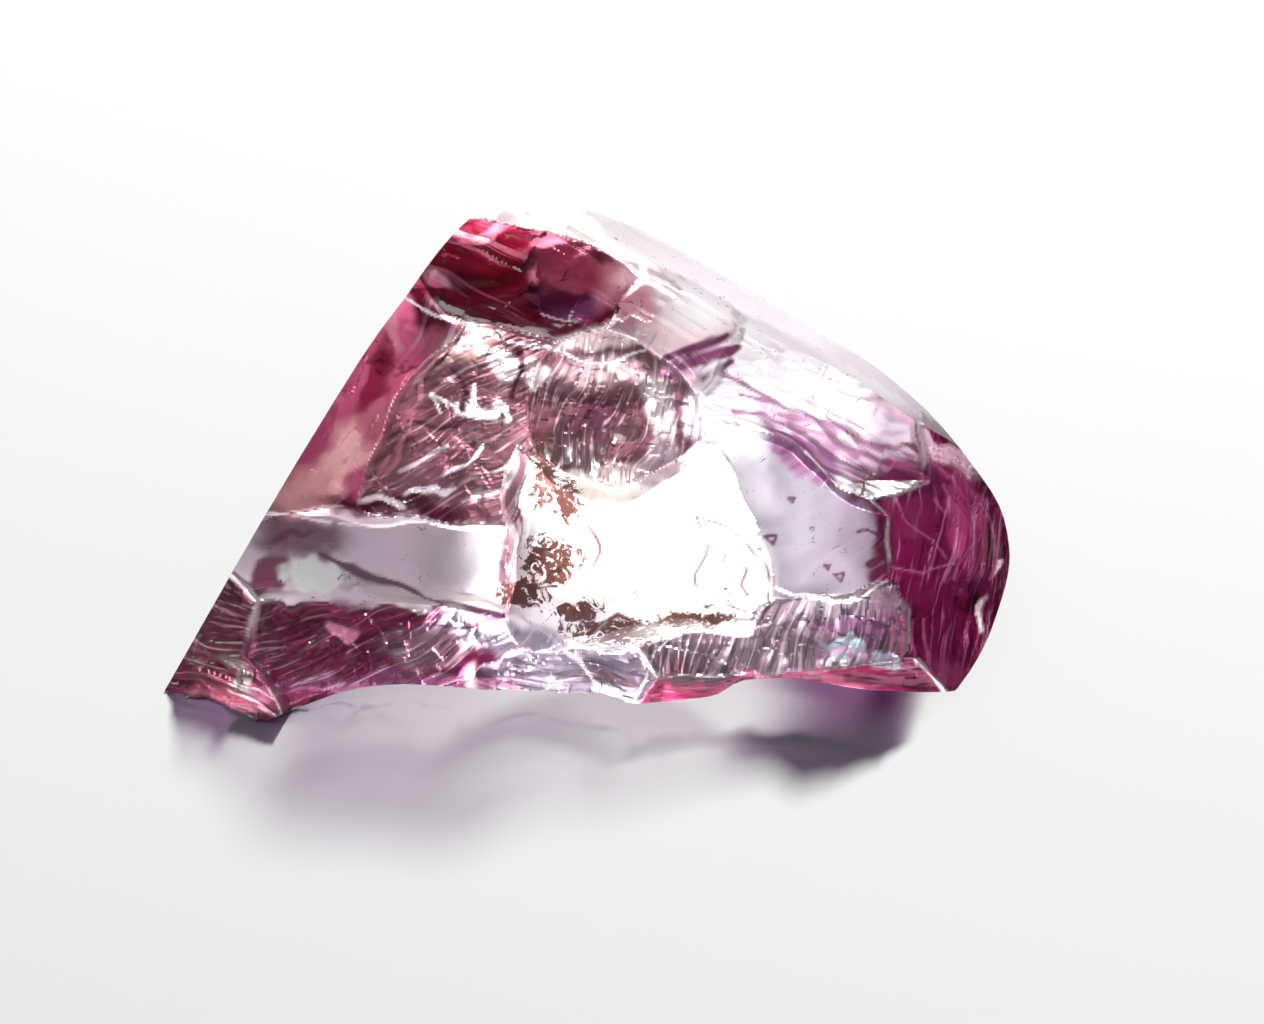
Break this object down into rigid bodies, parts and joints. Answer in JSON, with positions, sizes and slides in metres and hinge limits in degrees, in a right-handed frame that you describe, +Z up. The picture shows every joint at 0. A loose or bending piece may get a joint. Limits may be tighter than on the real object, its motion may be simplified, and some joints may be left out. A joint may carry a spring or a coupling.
{
  "type": "rough alexandrite",
  "caption": "Rough piece of a clear purple-red crystal: smooth rounded back, straight side, and a front broken into shell-like scars and ledges.",
  "frame": {"origin": "on the ground, under the middle of the stone's bounding box", "axes": "+Z up with the stone at rest, +X to the right along the stone's length, seen facing the broken face, +Y away from the broken face"},
  "size_m": [0.025, 0.0196, 0.0093],
  "materials": {
    "alexandrite": "clear, glossy, purple-red"
  },
  "bodies": {
    "root": {"rough_alexandrite": "alexandrite"}
  },
  "joints": []
}
